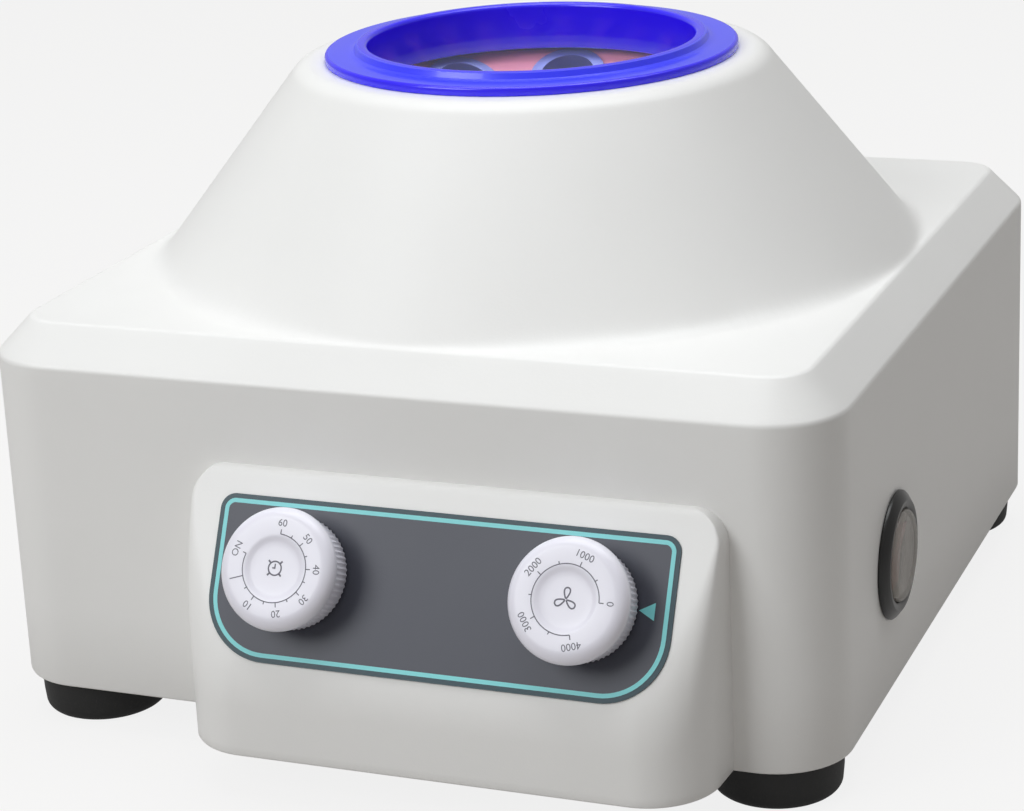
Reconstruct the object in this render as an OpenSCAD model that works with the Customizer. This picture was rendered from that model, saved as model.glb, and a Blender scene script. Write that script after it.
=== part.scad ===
// Benchtop angle-rotor centrifuge with a lift-off lid, built as an assembly.
// Origin: centre of the footprint on the bench. +Z up, the control panel faces -Y, the switch faces +X.

/* [Housing] */
// Width of the housing over its side walls
body_w = 255; // [235:1:300]
// Depth of the housing without the control panel
body_d = 255; // [235:1:300]
// Height of the shoulder, where the walls end and the bevel starts
shoulder_z = 112.5; // [108:0.5:125]
// Height of the bevel between wall and deck
bevel_h = 10.5; // [6:0.5:12]
// How far the bevel leans inwards
bevel_in = 10.3; // [6:0.1:12]
// Radius of the upright corners
corner_r = 22; // [18:0.5:30]
// Thickness of the moulded walls
wall = 3; // [2:0.1:4]
// Height of the cone above the deck
cone_h = 58; // [56:0.5:60]
// Radius of the cone where its side would meet the flat top
cone_top_r = 70.5; // [68:0.5:74]
// Radius of the round between the cone and its flat top
cone_round = 8; // [5:0.5:9]
// Radius of the mouth in the flat top
mouth_r = 59.5; // [59:0.1:60]

/* [Control panel] */
// Distance of the panel's centre to the right of the housing's centre
panel_x = 22; // [0:1:24]
// Width of the panel block
panel_w = 152; // [140:1:170]
// Height of the panel block's upper edge on the front wall
panel_top_z = 89; // [84:0.5:92]
// How far the panel block stands out at its foot
panel_out = 29; // [24:0.5:34]
// Lean of the panel face from upright
panel_lean = 27; // [20:0.5:32]
// Width of the printed label
label_w = 135; // [125:1:138]
// Height of the printed label
label_h = 46; // [40:0.5:48]
// Distance of each knob from the panel's centre
knob_x = 42; // [36:0.5:48]
// Diameter of a knob at its skirt
knob_d = 34; // [28:0.5:36]
// Height of a knob
knob_h = 15; // [12:0.5:18]

/* [Rotor] */
// Radius of the circle through the centres of the tube mouths
mouth_circle_r = 44; // [42:0.1:45]
// Lean of the tubes from the rotor's axis, and slope of the dish
tube_lean = 30; // [28:0.5:31]
// Number of tube positions
tube_count = 8; // [8:1:8]
// Radius of the bore that takes a tube
tube_bore_r = 8.7; // [7:0.1:8.8]
// Depth of that bore
tube_depth = 94; // [80:1:96]
// Radius of the rotor's rim
rotor_r = 57; // [56:0.5:58]
// Height of the rotor's rim above the bench
rotor_z = 170; // [168:0.5:170.5]
// Radius of the motor shaft
shaft_r = 4; // [3.5:0.1:4.5]

/* [Lid] */
// Outer radius of the lid's flange
lid_r = 62.8; // [62:0.1:64]
// Inner radius of the lid's rim
lid_in_r = 49.6; // [48:0.1:51]
// Depth of the lid's spigot under the flange
spigot_h = 7; // [5:0.1:7.5]
// Thickness of the lid's flange
flange_t = 2.7; // [2:0.1:3]

/* [Feet and base] */
// Height of the gap between bench and housing
ground_gap = 13; // [10:0.5:16]
// Radius of a rubber foot
foot_r = 17; // [12:0.5:17.5]
// Thickness of the sheet-steel base plate
plate_t = 1.5; // [1:0.1:3]

/* [Switch and mains side] */
// Distance of the switch in front of the housing's centre
switch_y = 61; // [50:1:75]
// Height of the switch's centre above the bench
switch_z = 53.5; // [45:0.5:60]
// Outer radius of the switch's bezel
bezel_r = 18.5; // [16:0.1:20]
// Radius of the motor's can
motor_r = 38; // [34:0.5:42]

/* [Hidden] */
$fn = 64;
eps = 0.01;

// Clearances
run_gap = 0.05;     // between a turning shaft and its bearing
slip_gap = 0.3;     // between a loose piece and its hole
fit_gap = 0.5;      // between the base plate and the walls

// Housing
deck_z = shoulder_z + bevel_h;
deck_strip = 0.7;
cone_top_z = deck_z + cone_h;
cone_foot_r = body_w / 2 - bevel_in - deck_strip;
cone_slope = (cone_foot_r - cone_top_r) / cone_h;
corner_x = body_w / 2 - corner_r;
corner_y = body_d / 2 - corner_r;
front_y = -body_d / 2;
boss_r = 6;
boss_y = 37;
boss_x = body_w / 2 - wall - boss_r + 1;
boss_h = 26;
plate_z = ground_gap + 3;
plate_top = plate_z + plate_t;
screw_r = 1.6;
screw_hole_r = 2;
screw_head_r = 3.4;
screw_head_h = 2;
round_steps = 8;

// Panel block: its side profile as distance out from the front wall and height
ledge_out = 4.3;
ledge_drop = 3.2;
panel_face_z = panel_top_z - ledge_drop;
panel_foot_z = panel_face_z - (panel_out - ledge_out) / tan(panel_lean);
panel_side_r = 9;
overlay_t = 0.4;
overlay_drop = 3.7;
overlay_top_r = 4.5;
overlay_foot_r = 18.5;
knob_drop = 20.5;
knob_gap = 0.6;
panel_hole_r = 5;
bush_r = 4.6;
bush_h = 3;
nut_r = 7;
nut_h = 2;
spindle_r = 3;
spindle_top = 11;
knob_recess_r = 10;
knob_recess_h = 4.5;
skirt_h = 5;
knob_edge = 3;
back_gap = 0.2;
timer_w = 40;
timer_deep = 27;
speed_r = 12;
speed_deep = 11;

// Rotor: the dish leans like the tubes, so each tube leaves it square
dish_t = 5;
hub_r = 13;
hub_top_z = 147;
hub_foot_z = 122;
socket_r = 12.5;
socket_h = 22;
sleeve_wall = 1.3;
sleeve_r = tube_bore_r + sleeve_wall;
sleeve_collar_r = 12;
sleeve_collar_h = 2.5;
tube_phase = 6.5;
mouth_z = rotor_z - (rotor_r - mouth_circle_r) * tan(tube_lean);
washer_t = 1.2;
nut_dome_r = 11;
nut_dome_h = 10;
drive_r = 12;
drive_h = 8;
shaft_top_z = hub_top_z + washer_t + 7;

// Lid
ridge_h = 2.2;
ridge_r = 54.6;
lid_wall = 2;
spigot_r = mouth_r - slip_gap;
window_t = 2;
window_z = cone_top_z - 7.5;
window_r = lid_in_r + lid_wall / 2;
seal_r = 61.9;
seal_w = 1.6;
seal_h = 1;

// Motor, in heights above the bench
damper_h = 7;
damper_r = 6;
damper_circle_r = 50;
bracket_r = 42;
bracket_t = 2;
bracket_z = plate_top + damper_h;
can_z = bracket_z + bracket_t;
can_h = 70;
can_t = 1.5;
can_floor = 2;
cap_h = 8;
cap_z = can_z + can_h;
bearing_r = 11;
bearing_h = 7;
seat_t = 3;
core_z = can_z + 24;
core_h = 28;
core_in_r = 23;
air_gap = 0.6;
coil_h = 5.5;
winding_h = 5;
commutator_r = 9;
commutator_z = can_z + 10;
commutator_h = 7.5;
brush_z = commutator_z + commutator_h / 2;
brush_w = 4;
brush_gap = 0.4;
fan_r = 30;
fan_z = core_z + core_h + 7;
fan_h = 6;

// Guard bowl
bowl_r = 104;
bowl_t = 1.5;
bowl_z = 70;
bowl_hole_r = 43;
bowl_collar_h = 8;
bowl_lip = 3;
pad_z = deck_z - wall - 1;
ear_r = 7;
ear_arm_w = 10;
ear_x = body_w / 2 - 28;
ear_y = body_d / 2 - 28;

// Feet
foot_sole_r = 14;
foot_recess_r = 6;
foot_recess_h = 6;

// Switch, drawn along its own axis, out of the wall
bezel_h = 3;
boot_r = 13.3;
boot_rise = 1;
boot_t = 0.8;
switch_body_r = 14.5;
switch_depth = 20;
rocker_l = 9.4;
rocker_w = 9;
rocker_tilt = 8;
rocker_pivot = -4;
rocker_top = 0.8;

// Mains side, on the rear wall
inlet_x = -62;
inlet_z = 48;
inlet_w = 28;
inlet_h = 20;
inlet_hole_w = 24;
inlet_hole_h = 16;
inlet_depth = 18;
inlet_flange_t = 2.5;
inlet_flange_w = 50;
inlet_flange_h = 24;
pin_len = 11;
pin_w = 2;
pin_t = 4;
pin_pitch = 7;
pin_rise = 2;
fuse_x = -12;
fuse_r = 6.5;
fuse_len = 28;
fuse_flange_r = 8.5;
fuse_flange_t = 2;
fuse_cap_r = 6;
fuse_cap_h = 6;

// Control board
board_x = -112;
board_y = -28;
board_w = 46;
board_l = 56;
board_z = plate_top + 6;
board_t = 1.6;

// The origin sits under the middle of the whole machine, knobs, switch and fuse cap counted in
out_right = bezel_h + boot_rise;
out_rear = fuse_flange_t + fuse_cap_h;
shift_x = -out_right / 2;
knob_reach = ledge_out + (overlay_drop + knob_drop + knob_d / 2 - knob_edge) * sin(panel_lean)
  + knob_h * cos(panel_lean);
shift_y = (max(knob_reach, panel_out) - out_rear) / 2;

// A slab with round upright corners.
module slab(w, d, r, h) {
  linear_extrude(h) {
    square([w - 2 * r, d], center = true);
    square([w, d - 2 * r], center = true);
    for (x = [-1, 1], y = [-1, 1])
      translate([x * (w / 2 - r), y * (d / 2 - r)]) circle(r);
  }
}

// The same slab with walls that lean inwards by c over the height h.
module bevel_slab(w, d, r, h, c) {
  for (x = [-1, 1], y = [-1, 1])
    translate([x * (w / 2 - r), y * (d / 2 - r), 0]) cylinder(h, r, r - c);
  rotate([90, 0, 0]) linear_extrude(d - 2 * r, center = true)
    polygon([[-w / 2, 0], [w / 2, 0], [w / 2 - c, h], [c - w / 2, h]]);
  rotate([90, 0, 90]) linear_extrude(w - 2 * r, center = true)
    polygon([[-d / 2, 0], [d / 2, 0], [d / 2 - c, h], [c - d / 2, h]]);
}

// The cone as a solid of revolution, shrunk by s on every side, with its upper edge rounded.
module cone_solid(s) {
  lean = atan(cone_slope);
  side = s / cos(lean);
  top = cone_top_z - s;
  foot = deck_z - wall - 2;
  r_at = cone_top_r + cone_slope * (cone_top_z - foot) - side;
  r_top = cone_top_r + cone_slope * s - side;
  rr = cone_round - s;
  k = rr * tan((90 - lean) / 2);
  arc = [for (i = [0:round_steps]) let (a = lean + (90 - lean) * i / round_steps)
    [r_top - k + rr * cos(a), top - rr + rr * sin(a)]];
  rotate_extrude() polygon(concat([[0, foot], [r_at, foot]], arc, [[0, top]]));
}

// The panel block, shrunk by s; back is how far it reaches behind the front wall.
module panel_block(s, back) {
  z0 = ground_gap - (s > 0 ? 1 : 0);
  slope_s = s / cos(panel_lean);
  out = panel_out - s;
  top = panel_top_z - s;
  face = [ledge_out + s * tan(panel_lean) - slope_s, panel_face_z - s];
  foot_z = panel_foot_z + (s - slope_s) / tan(panel_lean);
  w = panel_w - 2 * s;
  r = panel_side_r - s;
  intersection() {
    translate([panel_x, front_y, 0]) rotate([90, 0, 90]) linear_extrude(w, center = true)
      polygon([[back, z0], [-out, z0], [-out, foot_z], [-face[0], face[1]],
        [-face[0] + 1, top], [back, top]]);
    translate([panel_x, front_y, 0]) rotate([90, 0, 0]) translate([0, 0, -back - 1])
      linear_extrude(panel_out + back + 2) {
        translate([0, (top + z0) / 2]) {
          square([w, top - z0 - 2 * r], center = true);
          square([w - 2 * r, top - z0], center = true);
          for (x = [-1, 1], y = [-1, 1])
            translate([x * (w / 2 - r), y * ((top - z0) / 2 - r)]) circle(r);
        }
      }
  }
}

// Puts its children on the panel: +Z out of the panel face, +Y up the face, origin at the knob's height.
module on_panel(x) {
  a = [0, -sin(panel_lean), -cos(panel_lean)] * (overlay_drop + knob_drop);
  translate([panel_x + x, front_y - ledge_out + a[1], panel_face_z + a[2]])
    rotate([90 - panel_lean, 0, 0]) children();
}

// Puts its children on the right-hand wall: +Z out of the wall, +Y up.
module on_switch() {
  translate([body_w / 2, -switch_y, switch_z]) rotate([90, 0, 90]) children();
}

// Puts its children on the rear wall: +Z out of the wall, +Y up.
module on_rear(x, z) {
  translate([x, body_d / 2, z]) rotate([90, 0, 180]) children();
}

// Puts its children at tube i: origin at the mouth's centre, +Z out along the tube.
module at_tube(i) {
  rotate([0, 0, i * 360 / tube_count + tube_phase])
    translate([mouth_circle_r, 0, mouth_z]) rotate([0, -tube_lean, 0]) children();
}

module housing() {
  color("whitesmoke") difference() {
    union() {
      difference() {
        union() {
          translate([0, 0, ground_gap]) slab(body_w, body_d, corner_r, shoulder_z - ground_gap);
          translate([0, 0, shoulder_z]) bevel_slab(body_w, body_d, corner_r, bevel_h, bevel_in);
          cone_solid(0);
          panel_block(0, 2);
        }
        translate([0, 0, ground_gap - 1])
          slab(body_w - 2 * wall, body_d - 2 * wall, corner_r - wall, shoulder_z - ground_gap);
        translate([0, 0, shoulder_z - 1 - eps])
          bevel_slab(body_w - 2 * wall, body_d - 2 * wall, corner_r - wall, bevel_h - wall + 1 + eps,
            bevel_in * (bevel_h - wall) / bevel_h);
        cone_solid(wall);
        panel_block(wall, wall + 3);
      }
      for (x = [-1, 1], y = [-1, 1]) {
        translate([x * boss_x, y * boss_y, plate_top]) cylinder(boss_h, boss_r, boss_r);
        translate([x * ear_x, y * ear_y, pad_z]) cylinder(wall, ear_r, ear_r);
      }
    }
    translate([0, 0, cone_top_z - wall - 10]) cylinder(wall + 20, mouth_r, mouth_r);
    for (x = [-1, 1], y = [-1, 1]) {
      translate([x * boss_x, y * boss_y, plate_top - 1]) cylinder(boss_h - 8, screw_r, screw_r);
      translate([x * ear_x, y * ear_y, pad_z - 1]) cylinder(wall, screw_r, screw_r);
    }
    for (x = [-knob_x, knob_x])
      on_panel(x) translate([0, 0, -wall * 3]) cylinder(wall * 4, panel_hole_r, panel_hole_r);
    on_switch() translate([0, 0, -wall - 2])
      cylinder(wall + 4, switch_body_r + slip_gap, switch_body_r + slip_gap);
    on_rear(inlet_x, inlet_z)
      cube([inlet_w + 2 * slip_gap, inlet_h + 2 * slip_gap, wall * 4], center = true);
    on_rear(fuse_x, inlet_z) translate([0, 0, -wall - 1])
      cylinder(wall + 2, fuse_r + slip_gap, fuse_r + slip_gap);
  }
}

// The outline of the base plate, with its tongue under the panel block.
module plate_outline(t) {
  slab(body_w - 2 * wall - 2 * fit_gap, body_d - 2 * wall - 2 * fit_gap, corner_r - wall - fit_gap, t);
  translate([panel_x - panel_w / 2 + panel_side_r, front_y - panel_out + wall + fit_gap, 0])
    cube([panel_w - 2 * panel_side_r, panel_out + 20, t]);
}

module base_plate() {
  color("gainsboro") difference() {
    translate([0, 0, plate_z]) plate_outline(plate_t);
    for (x = [-1, 1], y = [-1, 1]) {
      translate([x * boss_x, y * boss_y, plate_z - 1]) cylinder(plate_t + 2, screw_hole_r, screw_hole_r);
      translate([x * corner_x, y * corner_y, plate_z - 1]) cylinder(plate_t + 2, screw_hole_r, screw_hole_r);
    }
    at_dampers() translate([0, 0, -plate_t - 1]) cylinder(plate_t + 2, screw_hole_r, screw_hole_r);
    for (i = [-4:4]) translate([i * 8 - 1.5, -22, plate_z - 1]) cube([3, 44, plate_t + 2]);
  }
}

// Puts its children at each damper, on top of the base plate.
module at_dampers() {
  for (a = [0:3]) rotate([0, 0, a * 90 + 45]) translate([damper_circle_r, 0, plate_top]) children();
}

// A pan-head screw that points up, its head under z = 0.
module screw_up(len) {
  translate([0, 0, -screw_head_h]) difference() {
    cylinder(screw_head_h, screw_head_r, screw_head_r);
    translate([0, 0, -eps]) {
      translate([-screw_head_r * 0.6, -0.4, 0]) cube([screw_head_r * 1.2, 0.8, 1]);
      translate([-0.4, -screw_head_r * 0.6, 0]) cube([0.8, screw_head_r * 1.2, 1]);
    }
  }
  cylinder(len, screw_r, screw_r);
}

module base_screws() {
  color("silver") for (x = [-1, 1], y = [-1, 1])
    translate([x * boss_x, y * boss_y, plate_z]) screw_up(12);
}

module foot_at(x, y) {
  color("black") translate([x * corner_x, y * corner_y, 0]) difference() {
    rotate_extrude() polygon([[0, 0], [foot_sole_r, 0], [foot_r - 1, 1.6], [foot_r, 4], [foot_r, plate_z - 3],
      [foot_r - 0.6, plate_z], [0, plate_z]]);
    translate([0, 0, -1]) cylinder(foot_recess_h + 1, foot_recess_r, foot_recess_r);
    cylinder(plate_z + 1, screw_hole_r, screw_hole_r);
  }
}

module foot_front_left() { foot_at(-1, -1); }
module foot_front_right() { foot_at(1, -1); }
module foot_rear_left() { foot_at(-1, 1); }
module foot_rear_right() { foot_at(1, 1); }

module foot_screws() {
  color("silver") for (x = [-1, 1], y = [-1, 1]) translate([x * corner_x, y * corner_y, 0]) {
    translate([0, 0, foot_recess_h]) screw_up(plate_top - foot_recess_h + 5);
    translate([0, 0, plate_top]) linear_extrude(2.6) difference() {
      circle(screw_head_r, $fn = 6);
      circle(screw_r);
    }
  }
}

// The outline of the overlay, its lower corners rounder than its upper ones.
module overlay_outline(g) {
  w = label_w - 2 * g;
  h = label_h - 2 * g;
  rt = overlay_top_r - g;
  rf = overlay_foot_r - g;
  translate([0, -g]) {
    translate([0, -rt / 2]) square([w - 2 * rt, rt], center = true);
    translate([0, -(rt + h - rf) / 2]) square([w, h - rf - rt], center = true);
    translate([0, -h + rf / 2]) square([w - 2 * rf, rf], center = true);
    for (x = [-1, 1]) {
      translate([x * (w / 2 - rt), -rt]) circle(rt);
      intersection() {
        translate([x * (w / 2 - rf), -h + rf]) circle(rf);
        translate([x * (w / 2 - rf / 2), -h + rf / 2]) square([rf, rf], center = true);
      }
    }
  }
}

module panel_overlay() {
  color("darkslategray") on_panel(0) translate([0, knob_drop, 0]) linear_extrude(overlay_t) difference() {
    overlay_outline(0);
    for (x = [-knob_x, knob_x]) translate([x, -knob_drop]) circle(nut_r + 1);
  }
}

module guard_bowl() {
  top = pad_z;
  color("lightsteelblue") difference() {
    union() {
      rotate_extrude() polygon([[bowl_hole_r, bowl_z], [bowl_r, bowl_z], [bowl_r, top - bowl_t],
        [bowl_r + bowl_lip, top - bowl_t], [bowl_r + bowl_lip, top], [bowl_r - bowl_t, top],
        [bowl_r - bowl_t, bowl_z + bowl_t], [bowl_hole_r + bowl_t, bowl_z + bowl_t],
        [bowl_hole_r + bowl_t, bowl_z + bowl_collar_h], [bowl_hole_r, bowl_z + bowl_collar_h]]);
      for (x = [-1, 1], y = [-1, 1]) {
        translate([x * ear_x, y * ear_y, top - bowl_t]) cylinder(bowl_t, ear_r, ear_r);
        rotate([0, 0, atan2(y * ear_y, x * ear_x)]) translate([bowl_r, -ear_arm_w / 2, top - bowl_t])
          cube([norm([ear_x, ear_y]) - bowl_r, ear_arm_w, bowl_t]);
      }
    }
    for (x = [-1, 1], y = [-1, 1])
      translate([x * ear_x, y * ear_y, top - bowl_t - 1]) cylinder(bowl_t + 2, screw_hole_r, screw_hole_r);
  }
}

module bowl_screws() {
  color("silver") for (x = [-1, 1], y = [-1, 1])
    translate([x * ear_x, y * ear_y, pad_z - bowl_t]) screw_up(bowl_t + 1.8);
}

module motor_bracket() {
  color("gray") difference() {
    union() {
      translate([0, 0, bracket_z]) cylinder(bracket_t, bracket_r, bracket_r);
      at_dampers() translate([0, 0, damper_h]) {
        cylinder(bracket_t, damper_r + 1, damper_r + 1);
        translate([-12, -damper_r, 0]) cube([12, 2 * damper_r, bracket_t]);
      }
    }
    translate([0, 0, bracket_z - 1]) cylinder(bracket_t + 2, bearing_r - 3, bearing_r - 3);
    at_dampers() translate([0, 0, damper_h - 1]) cylinder(bracket_t + 2, screw_hole_r, screw_hole_r);
  }
}

module bracket_dampers() {
  color("black") at_dampers() rotate_extrude() polygon([[screw_hole_r, 0], [damper_r, 0], [damper_r, 2],
    [damper_r - 1.5, damper_h / 2], [damper_r, damper_h - 2],
    [damper_r, damper_h], [screw_hole_r, damper_h]]);
}

module damper_screws() {
  len = plate_t + damper_h + bracket_t + 4;
  color("silver") at_dampers() {
    translate([0, 0, -plate_t]) screw_up(len);
    translate([0, 0, damper_h + bracket_t]) linear_extrude(2.6) difference() {
      circle(screw_head_r, $fn = 6);
      circle(screw_r);
    }
  }
}

module motor_can() {
  color("silver") difference() {
    union() {
      translate([0, 0, can_z]) cylinder(can_h, motor_r, motor_r);
    }
    difference() {
      translate([0, 0, can_z + can_floor]) cylinder(can_h, motor_r - can_t, motor_r - can_t);
      translate([0, 0, can_z]) cylinder(can_floor + bearing_h, bearing_r + seat_t, bearing_r + seat_t);
    }
    translate([0, 0, can_z + can_floor]) cylinder(bearing_h + 1, bearing_r, bearing_r);
    translate([0, 0, can_z - 1]) cylinder(can_floor + 2, bearing_r - 4, bearing_r - 4);
    for (a = [0:5]) rotate([0, 0, a * 60 + 30]) translate([motor_r - 5, -3, can_z + 4]) cube([10, 6, 12]);
  }
}

module motor_top_cap() {
  color("silver") difference() {
    union() {
      translate([0, 0, cap_z]) cylinder(2, motor_r, motor_r);
      translate([0, 0, cap_z]) cylinder(cap_h, bearing_r + seat_t, bearing_r + seat_t);
    }
    translate([0, 0, cap_z - 1]) cylinder(bearing_h + 1, bearing_r, bearing_r);
    translate([0, 0, cap_z - 1]) cylinder(cap_h + 2, bearing_r - 4, bearing_r - 4);
    for (a = [0:7]) rotate([0, 0, a * 45]) translate([bearing_r + 8, -3, cap_z - 1]) cube([12, 6, 4]);
  }
}

module stator_core() {
  color("dimgray") translate([0, 0, core_z]) linear_extrude(core_h) difference() {
    circle(motor_r - can_t);
    circle(core_in_r);
    for (x = [-1, 1]) intersection() {
      difference() {
        circle(motor_r - can_t - 4);
        circle(core_in_r + 2.5);
      }
      translate([x * 30, 0]) square([40, 22], center = true);
    }
  }
}

module field_coils() {
  color("chocolate") for (z = [core_z - coil_h, core_z + core_h])
    translate([0, 0, z]) linear_extrude(coil_h) difference() {
      circle(motor_r - can_t - 2);
      circle(core_in_r + 2.5);
      square([16, 2 * motor_r], center = true);
    }
}

module shaft_bearings() {
  color("lightgray") for (z = [can_z + can_floor, cap_z])
    translate([0, 0, z]) rotate_extrude() polygon([[shaft_r + run_gap, 0], [bearing_r, 0],
      [bearing_r, bearing_h], [shaft_r + run_gap, bearing_h]]);
}

module brush_holders() {
  color("burlywood") for (a = [0, 180]) rotate([0, 0, a]) translate([0, 0, brush_z]) difference() {
    intersection() {
      translate([14, -5, -4]) cube([motor_r, 10, 8]);
      translate([0, 0, -10]) cylinder(20, motor_r - can_t, motor_r - can_t);
    }
    translate([0, -brush_w / 2 - 0.1, -brush_w / 2 - 0.1]) cube([30, brush_w + 0.2, brush_w + 0.2]);
  }
}

module carbon_brushes() {
  color("black") for (a = [0, 180]) rotate([0, 0, a])
    translate([commutator_r + brush_gap, -brush_w / 2, brush_z - brush_w / 2 - 0.1])
      cube([30 - commutator_r - brush_gap, brush_w, brush_w]);
}

module motor_shaft() {
  color("silver") translate([0, 0, can_z + 1]) cylinder(shaft_top_z - can_z - 1, shaft_r, shaft_r);
}

// A ring on the shaft from height z.
module shaft_ring(r, z, h) {
  translate([0, 0, z]) difference() {
    cylinder(h, r, r);
    translate([0, 0, -1]) cylinder(h + 2, shaft_r, shaft_r);
  }
}

module armature_core() {
  color("gray") difference() {
    shaft_ring(core_in_r - air_gap, core_z, core_h);
    for (a = [0:11]) rotate([0, 0, a * 30]) translate([core_in_r - 4, -1, core_z - 1])
      cube([6, 2, core_h + 2]);
  }
}

module armature_windings() {
  color("peru") for (z = [core_z - winding_h, core_z + core_h]) shaft_ring(core_in_r - 4.5, z, winding_h);
}

module commutator() {
  color("darkgoldenrod") difference() {
    shaft_ring(commutator_r, commutator_z, commutator_h);
    for (a = [0:11]) rotate([0, 0, a * 30 + 15])
      translate([commutator_r - 1, -0.3, commutator_z - 1]) cube([2, 0.6, commutator_h + 2]);
  }
}

module cooling_fan() {
  color("ivory") {
    shaft_ring(8, fan_z, fan_h);
    difference() {
      shaft_ring(fan_r, fan_z, 1.4);
      translate([0, 0, fan_z - 1]) cylinder(4, 7, 7);
    }
    for (a = [0:8]) rotate([0, 0, a * 40]) translate([7.5, -0.6, fan_z + 1])
      cube([fan_r - 8, 1.2, fan_h - 1]);
  }
}

module drive_collar() {
  color("silver") shaft_ring(drive_r, hub_foot_z - drive_h, drive_h);
}

module rotor_body() {
  t = dish_t / cos(tube_lean);
  rim = 3;
  hub_edge_z = rotor_z - (rotor_r - rim - hub_r) * tan(tube_lean) - rim * tan(tube_lean);
  color("lightpink") difference() {
    union() {
      rotate_extrude() polygon([[shaft_r, hub_foot_z], [hub_r, hub_foot_z], [hub_r, hub_edge_z - t],
        [rotor_r - 1, rotor_z - t - tan(tube_lean)], [rotor_r, rotor_z - t + 0.8],
        [rotor_r, rotor_z - 0.9], [rotor_r - 0.9, rotor_z], [rotor_r - 2.2, rotor_z],
        [hub_r, rotor_z - (rotor_r - hub_r) * tan(tube_lean)], [hub_r, hub_top_z], [shaft_r, hub_top_z]]);
      for (i = [0:tube_count - 1]) at_tube(i) translate([0, 0, -socket_h])
        cylinder(socket_h - dish_t / 2, socket_r, socket_r);
    }
    for (i = [0:tube_count - 1]) at_tube(i) {
      translate([0, 0, -socket_h - 1]) cylinder(socket_h + 12, sleeve_r, sleeve_r);
      cylinder(12, sleeve_collar_r + 0.3, sleeve_collar_r + 0.3);
    }
  }
}

// A drawn tube sleeve with a turned-over collar and a round bottom.
module tube_sleeve(i) {
  k = tube_depth - tube_bore_r;
  color("slategray") at_tube(i - 1) difference() {
    union() {
      cylinder(sleeve_collar_h, sleeve_collar_r, sleeve_collar_r);
      translate([0, 0, -k + sleeve_collar_h]) cylinder(k, sleeve_r, sleeve_r);
      translate([0, 0, -k + sleeve_collar_h]) sphere(sleeve_r);
    }
    translate([0, 0, -k + sleeve_collar_h]) cylinder(k + 1, tube_bore_r, tube_bore_r);
    translate([0, 0, -k + sleeve_collar_h]) sphere(tube_bore_r);
  }
}

module tube_sleeve_1() { tube_sleeve(1); }
module tube_sleeve_2() { tube_sleeve(2); }
module tube_sleeve_3() { tube_sleeve(3); }
module tube_sleeve_4() { tube_sleeve(4); }
module tube_sleeve_5() { tube_sleeve(5); }
module tube_sleeve_6() { tube_sleeve(6); }
module tube_sleeve_7() { tube_sleeve(7); }
module tube_sleeve_8() { tube_sleeve(8); }

module rotor_washer() {
  color("silver") shaft_ring(nut_dome_r, hub_top_z, washer_t);
}

module rotor_nut() {
  z = hub_top_z + washer_t;
  top = nut_dome_h;
  color("black") translate([0, 0, z]) difference() {
    rotate_extrude() polygon([[0, 0], [nut_dome_r - 1.5, 0], [nut_dome_r - 1, 0.5], [nut_dome_r - 1, 4],
      [nut_dome_r - 3, 6], [nut_dome_r - 5, top], [0, top]]);
    translate([0, 0, -1]) cylinder(shaft_top_z - z + 1, shaft_r, shaft_r);
    for (a = [0:5]) rotate([0, 0, a * 60]) translate([nut_dome_r - 2, -1, -1]) cube([4, 2, 8]);
  }
}

module lid_rim() {
  z = cone_top_z;
  top = z + flange_t + ridge_h;
  color("royalblue") rotate_extrude() polygon([[spigot_r - lid_wall, z + flange_t - 1.2],
    [spigot_r - lid_wall, z - spigot_h], [spigot_r, z - spigot_h], [spigot_r, z],
    [seal_r - seal_w, z], [seal_r - seal_w, z + seal_h], [seal_r, z + seal_h], [seal_r, z],
    [lid_r - 0.3, z], [lid_r, z + 0.3], [lid_r, z + flange_t - 0.5], [lid_r - 0.5, z + flange_t],
    [ridge_r, z + flange_t], [ridge_r - 0.3, top - 0.4], [ridge_r - 0.8, top], [lid_in_r + 0.8, top],
    [lid_in_r, top - 0.8], [lid_in_r, window_z + window_t], [window_r, window_z + window_t],
    [window_r, window_z], [window_r + 1.6, window_z], [window_r + 1.6, z + flange_t - 1.2]]);
}

module lid_window() {
  color("lightcyan", 0.4) translate([0, 0, window_z]) cylinder(window_t, window_r, window_r);
}

module lid_seal() {
  color("dimgray") translate([0, 0, cone_top_z]) linear_extrude(seal_h) difference() {
    circle(seal_r);
    circle(seal_r - seal_w);
  }
}

// A threaded bush with a running bore for a spindle, from the back of the panel outwards.
module bush() {
  difference() {
    translate([0, 0, -wall - 0.5]) cylinder(wall + 0.5 + bush_h, bush_r, bush_r);
    translate([0, 0, -wall - 2]) cylinder(wall + bush_h + 4, spindle_r + run_gap, spindle_r + run_gap);
  }
}

module timer_body() {
  color("lightgray") on_panel(-knob_x) {
    bush();
    difference() {
      translate([-timer_w / 2, -timer_w / 2, -wall - back_gap - timer_deep]) cube([timer_w, timer_w, timer_deep]);
      translate([0, 0, -wall - 8]) cylinder(10, spindle_r + run_gap, spindle_r + run_gap);
    }
  }
}

module speed_control() {
  color("darkkhaki") on_panel(knob_x) {
    bush();
    difference() {
      union() {
        translate([0, 0, -wall - back_gap - speed_deep]) cylinder(speed_deep, speed_r, speed_r);
        translate([-8, -speed_r - 5, -wall - speed_deep + 3]) cube([16, speed_r, 1.2]);
      }
      translate([0, 0, -wall - 8]) cylinder(10, spindle_r + run_gap, spindle_r + run_gap);
    }
  }
}

module spindle(x) {
  color("silver") on_panel(x) translate([0, 0, -wall - 7])
    cylinder(wall + 7 + spindle_top, spindle_r, spindle_r);
}

module timer_shaft() { spindle(-knob_x); }
module speed_shaft() { spindle(knob_x); }

module panel_nuts() {
  color("silver") for (x = [-knob_x, knob_x]) on_panel(x) linear_extrude(nut_h) difference() {
    circle(nut_r, $fn = 6);
    circle(bush_r);
  }
}

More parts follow.
